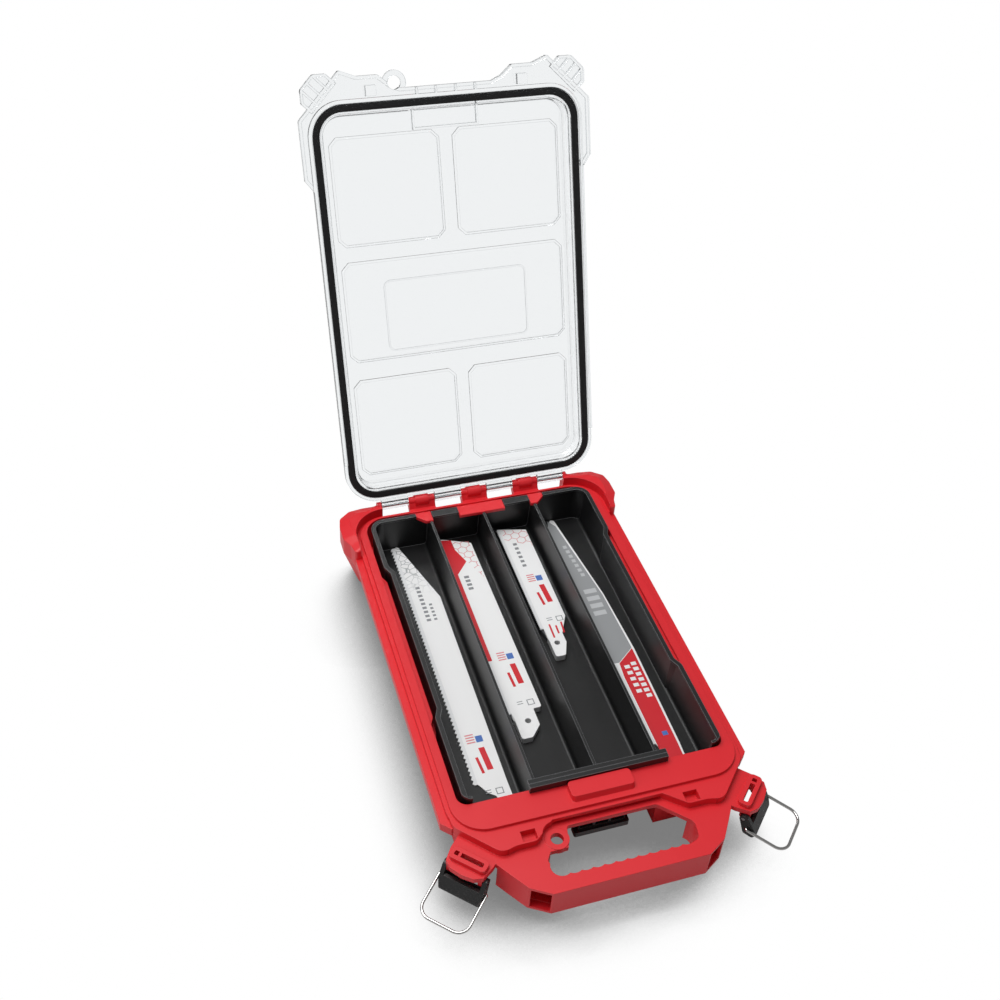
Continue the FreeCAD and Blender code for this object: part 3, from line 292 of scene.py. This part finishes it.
def ink_mesh(name, blade, ink):
    """Empty print of one ink on one blade, with the bmesh that its patches go into."""
    mesh = bpy.data.meshes.new(name)
    mesh.materials.append(ink)
    print_piece = bpy.data.objects.new(name, mesh)
    bpy.context.scene.collection.objects.link(print_piece)
    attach(print_piece, blade)
    return mesh, bmesh.new()


def print_height(blade):
    """Height of the blade's upper face."""
    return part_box(blade + "_back")[1][2]


def lay(mesh, form, blade, thickness=PRINT_THICKNESS):
    """Raise the flat patches to the blade's face and give the ink its thickness in millimetres."""
    bmesh.ops.recalc_face_normals(form, faces=form.faces)
    for face in form.faces:
        if face.normal.z < 0:
            face.normal_flip()
    bmesh.ops.scale(form, vec=(MM, MM, MM), verts=form.verts)
    bmesh.ops.translate(form, vec=(0, 0, print_height(blade) + thickness * MM), verts=form.verts)
    bmesh.ops.solidify(form, geom=form.faces[:], thickness=thickness * MM)
    form.to_mesh(mesh)
    form.free()


def patch(form, corners):
    """Flat patch through a few corners, in millimetres."""
    form.faces.new([form.verts.new((x, y, 0)) for x, y in corners])


def bar(form, x, y, across, along, lean=0.0):
    """Slanted bar centred on a place, with its length along the blade."""
    patch(form, [(x - across / 2 - lean, y - along / 2), (x + across / 2 - lean, y - along / 2),
                 (x + across / 2 + lean, y + along / 2), (x - across / 2 + lean, y + along / 2)])


def frame_mark(form, x, y, size, line):
    """Small square outline."""
    bmesh.ops.create_grid(form, x_segments=1, y_segments=1, size=size / 2,
                          matrix=Matrix.Translation((x, y, 0)))
    form.faces.ensure_lookup_table()
    middle = form.faces[-1]
    bmesh.ops.inset_region(form, faces=[middle], thickness=line, use_boundary=True, use_even_offset=True)
    bmesh.ops.delete(form, geom=[middle], context="FACES")


def honeycomb(form, left, right, front, back, cell, line):
    """Rows of six-sided outlines over a rectangle of the blade."""
    pitch_y = cell * math.sqrt(3) / 2
    rows = int((back - front) / pitch_y) + 2
    columns = int((right - left) / cell) + 2
    for row in range(rows):
        for column in range(columns):
            place = (left + (column + 0.5 * (row % 2)) * cell, front + row * pitch_y, 0)
            before = set(form.faces)
            bmesh.ops.create_circle(form, cap_ends=True, segments=6, radius=cell / math.sqrt(3),
                                    matrix=Matrix.Translation(place))
            middle = [face for face in form.faces if face not in before][0]
            bmesh.ops.inset_region(form, faces=[middle], thickness=line / 2, use_boundary=True,
                                   use_even_offset=True)
            bmesh.ops.delete(form, geom=[middle], context="FACES")


def trim(form, place, outward):
    """Cut away what lies beyond a line across the print."""
    bmesh.ops.bisect_plane(form, geom=form.verts[:] + form.edges[:] + form.faces[:],
                           plane_co=(place[0], place[1], 0), plane_no=(outward[0], outward[1], 0),
                           clear_outer=True)


def dashes(number, name, ink, x, y, across, along, pitch, count, drift=0.0, thickness=PRINT_THICKNESS):
    """Column of short plain bars that runs towards the tang."""
    blade = "blade_%d" % number
    mesh, form = ink_mesh("%s_%s" % (blade, name), blade, ink)
    for step in range(count):
        bar(form, x + drift * step, y - pitch * step, across, along)
    lay(mesh, form, blade, thickness)


def tang_marks(number, x, y, lean):
    """Generic colour marks by the tang: pale bars, a blue block and two red strokes."""
    blade = "blade_%d" % number
    mesh, form = ink_mesh("%s_red_strokes" % blade, blade, red_ink)
    bar(form, x + 3.4, y - 20, 4.6, 21, lean)
    bar(form, x - 2.6, y - 25, 2.2, 15, lean)
    lay(mesh, form, blade)
    mesh, form = ink_mesh("%s_pale_bars" % blade, blade, pink_ink)
    for step in range(4):
        bar(form, x - 3.2, y + 3.6 - 2.4 * step, 6.6, 1.2)
    lay(mesh, form, blade)
    mesh, form = ink_mesh("%s_blue_block" % blade, blade, blue_ink)
    bar(form, x + 3.6, y - 1.4, 5.4, 6.0)
    lay(mesh, form, blade)
    mesh, form = ink_mesh("%s_grey_box" % blade, blade, grey_ink)
    frame_mark(form, x + 5.0, y - 50, 5.6, BOX_LINE)
    bar(form, x - 3.4, y - 50, 4.6, BOX_LINE)
    bar(form, x - 3.4, y - 47.8, 4.6, BOX_LINE)
    lay(mesh, form, blade)


def blade_1_print():
    tang_marks(1, -68.6, -67, -0.6)
    dashes(1, "grey_column", grey_ink, -70.2, 96.0, 3.6, 2.6, 4.7, 9)
    dashes(1, "short_grey_column", grey_ink, -64.4, 75.0, 2.6, 2.2, 4.2, 5)


def blade_2_print():
    blade = "blade_2"
    mesh, form = ink_mesh("blade_2_red_wedge", blade, red_ink)
    patch(form, [(-37.5, 142.6), (-37.5, -1.0), (-33.9, -1.0), (-33.9, 98.6), (-22.4, 112.2),
                 (-28.1, 128.2), (-28.5, 140.6)])
    lay(mesh, form, blade)
    mesh, form = ink_mesh("blade_2_honeycomb", blade, pink_ink)
    honeycomb(form, -29.2, -10.7, 75.2, 141.2, HONEYCOMB_CELL, HONEYCOMB_LINE)
    trim(form, (-12.9, 95.2), (1.0, 0.02))
    trim(form, (-27.7, 138.2), (0.17, 0.98))
    trim(form, (-21.9, 112.2), (-0.78, -0.32))
    trim(form, (-12.7, 81.2), (-0.72, -0.69))
    lay(mesh, form, blade)
    tang_marks(2, -22.3, 1.7, -0.4)
    dashes(2, "grey_column", grey_ink, -27.6, 94.0, 4.2, 2.8, 4.6, 4)


def blade_3_print():
    blade = "blade_3"
    mesh, form = ink_mesh("blade_3_honeycomb", blade, pink_ink)
    honeycomb(form, 17.3, 40.3, 113.2, 144.2, HONEYCOMB_CELL, HONEYCOMB_LINE)
    trim(form, (39.5, 115.2), (1.0, 0.0))
    trim(form, (17.7, 115.2), (-1.0, 0.0))
    trim(form, (17.7, 142.0), (0.2, 0.98))
    trim(form, (18.3, 129.2), (-0.5, -0.87))
    lay(mesh, form, blade)
    tang_marks(3, 28.7, 79.2, -0.5)
    dashes(3, "grey_column", grey_ink, 24.8, 122.0, 3.4, 2.8, 5.4, 6)
    mesh, form = ink_mesh("blade_3_tang_bars", blade, red_ink)
    bar(form, 22.9, 17.2, 1.5, 15.0, 0.2)
    bar(form, 27.9, 17.8, 1.5, 9.0, 0.2)
    bar(form, 32.9, 19.2, 1.5, 12.0, 0.6)
    lay(mesh, form, blade)


def blade_4_print():
    blade = "blade_4"
    mesh, form = ink_mesh("blade_4_grey_field", blade, grey_field)
    patch(form, [(64.2, 147.4), (62.0, 139.0), (61.7, -25.0), (66.2, -25.4), (82.0, -12.7), (80.2, 49.0),
                 (76.0, 84.0), (69.2, 139.6)])
    lay(mesh, form, blade)
    mesh, form = ink_mesh("blade_4_red_field", blade, red_ink)
    patch(form, [(66.2, -26.0), (64.8, -40.0), (64.4, -118.0), (68.2, -121.0), (68.4, -151.2), (79.0, -151.2),
                 (80.4, -111.0), (82.0, -20.0), (82.0, -13.4)])
    lay(mesh, form, blade)


def blade_4_bars():
    """Plain pale bars on the grey and red fields, raised over them."""
    over = RAISED_PRINT_THICKNESS
    dashes(4, "pale_column", pale_ink, 68.4, 112.0, 3.4, 3.6, 6.0, 7, 0.6, over)
    dashes(4, "pale_blocks", pale_ink, 71.4, 56.0, 11.0, 5.0, 8.6, 4, -0.2, over)
    dashes(4, "white_column", white_ink, 77.2, -29.0, 4.4, 3.4, 5.6, 7, thickness=over)
    dashes(4, "short_white_column", white_ink, 71.0, -31.0, 4.4, 3.4, 6.4, 5, thickness=over)
    dashes(4, "blue_mark", blue_ink, 74.6, -100.4, 4.4, 4.0, 1.0, 1, thickness=over)


blade_1_print()
blade_2_print()
blade_3_print()
blade_4_print()
blade_4_bars()


# Floor, light and camera, in metres

FLOOR_HALF_SIZE = 6.0
SHADOW_REACH = 0.088
SHADOW_FROM = 0.3
SHADOW_TO = 0.8
DARKEST_SHADOW = 0.2
WORLD_LIGHT = 0.3
WORLD_REFLECTION = 0.26
CAMERA_PLACE = (-0.26383, -0.62086, 0.79415)
CAMERA_FORWARD = (0.25575792, 0.69899155, -0.66783134)
CAMERA_UP = (0.16254392, 0.64988032, 0.74245205)
CAMERA_LENS = 45.25


def floor():
    """Pale seamless floor: as the camera sees it, a painted shadow darkens it to a soft grey round and below
    the case.
    """
    form = bmesh.new()
    bmesh.ops.create_grid(form, x_segments=1, y_segments=1, size=FLOOR_HALF_SIZE)
    mesh = bpy.data.meshes.new("studio_floor")
    form.to_mesh(mesh)
    form.free()
    ground = bpy.data.objects.new("studio_floor", mesh)
    bpy.context.scene.collection.objects.link(ground)
    material, tree, surface = finish_of("white_backdrop_with_painted_shadow", "#D2D2D2", 0.9)
    # painted shadow: the camera sees an emission dimmed by occlusion toward a leaning direction, in place of
    # the lamps' own shadow
    leaning = add(tree, "ShaderNodeCombineXYZ", X=0.33, Y=0.62, Z=0.71)
    shade = add(tree, "ShaderNodeAmbientOcclusion", {"samples": 16}, Distance=SHADOW_REACH,
                Normal=leaning.outputs["Vector"])
    painted_shadow_level = add(tree, "ShaderNodeMapRange", {"interpolation_type": "SMOOTHSTEP"}, Value=shade.outputs["AO"],
                   From_Min=SHADOW_FROM, From_Max=SHADOW_TO, To_Min=DARKEST_SHADOW)
    shown = add(tree, "ShaderNodeEmission", Strength=painted_shadow_level.outputs["Result"])
    shown.inputs["Color"].default_value = (1, 1, 1, 1)
    mixed = add(tree, "ShaderNodeMixShader", _0=seen_directly(tree), _1=surface.outputs["BSDF"],
                _2=shown.outputs["Emission"])
    tree.links.new(mixed.outputs["Shader"], tree.nodes["Material Output"].inputs["Surface"])
    mesh.materials.append(material)


def seen_directly(tree):
    """1 where the camera sees the backdrop, also through the clear lid."""
    path = add(tree, "ShaderNodeLightPath")
    direct = add(tree, "ShaderNodeMath", {"operation": "MAXIMUM"}, _0=path.outputs["Is Camera Ray"],
                 _1=path.outputs["Is Transmission Ray"])
    return direct.outputs["Value"]


def soft_box(name, place, aim, size, watts):
    """Square studio light turned to a point."""
    lamp = bpy.data.lights.new(name, "AREA")
    lamp.shape = "SQUARE"
    lamp.size = size
    lamp.energy = watts
    holder = bpy.data.objects.new(name, lamp)
    holder.location = place
    holder.rotation_euler = (Vector(aim) - Vector(place)).to_track_quat("-Z", "Y").to_euler()
    bpy.context.scene.collection.objects.link(holder)


def studio_world():
    """White surroundings: full white where seen or looked through, softer as light and as reflection."""
    world = bpy.data.worlds.new("studio")
    world.use_nodes = True
    tree = world.node_tree
    mirrored = add(tree, "ShaderNodeLightPath").outputs["Is Glossy Ray"]
    light = add(tree, "ShaderNodeMapRange", Value=mirrored, To_Min=WORLD_LIGHT, To_Max=WORLD_REFLECTION)
    shown = add(tree, "ShaderNodeMix", Factor=seen_directly(tree), A=light.outputs["Result"], B=1.0)
    back = tree.nodes["Background"]
    back.inputs["Color"].default_value = (1, 1, 1, 1)
    tree.links.new(shown.outputs["Result"], back.inputs["Strength"])
    bpy.context.scene.world = world


def camera():
    """Camera at the photograph's viewing angle, fitted to the case's edges."""
    made = bpy.data.cameras.new("camera")
    made.sensor_width = 36.0
    made.lens = CAMERA_LENS
    made.clip_end = 20.0
    holder = bpy.data.objects.new("camera", made)
    forward = Vector(CAMERA_FORWARD).normalized()
    up = Vector(CAMERA_UP).normalized()
    right = forward.cross(up).normalized()
    turn = Matrix((right, right.cross(forward), -forward)).transposed()
    holder.matrix_world = Matrix.Translation(CAMERA_PLACE) @ turn.to_4x4()
    bpy.context.scene.collection.objects.link(holder)
    bpy.context.scene.camera = holder


floor()
soft_box("overhead_soft_box", (-0.45, 0.2, 1.9), (0, 0, 0), 1.2, 28)
soft_box("left_strip", (-1.6, -0.1, 0.9), (0, 0, 0.05), 0.8, 4)
studio_world()
camera()
bpy.context.scene.view_settings.view_transform = "Standard"
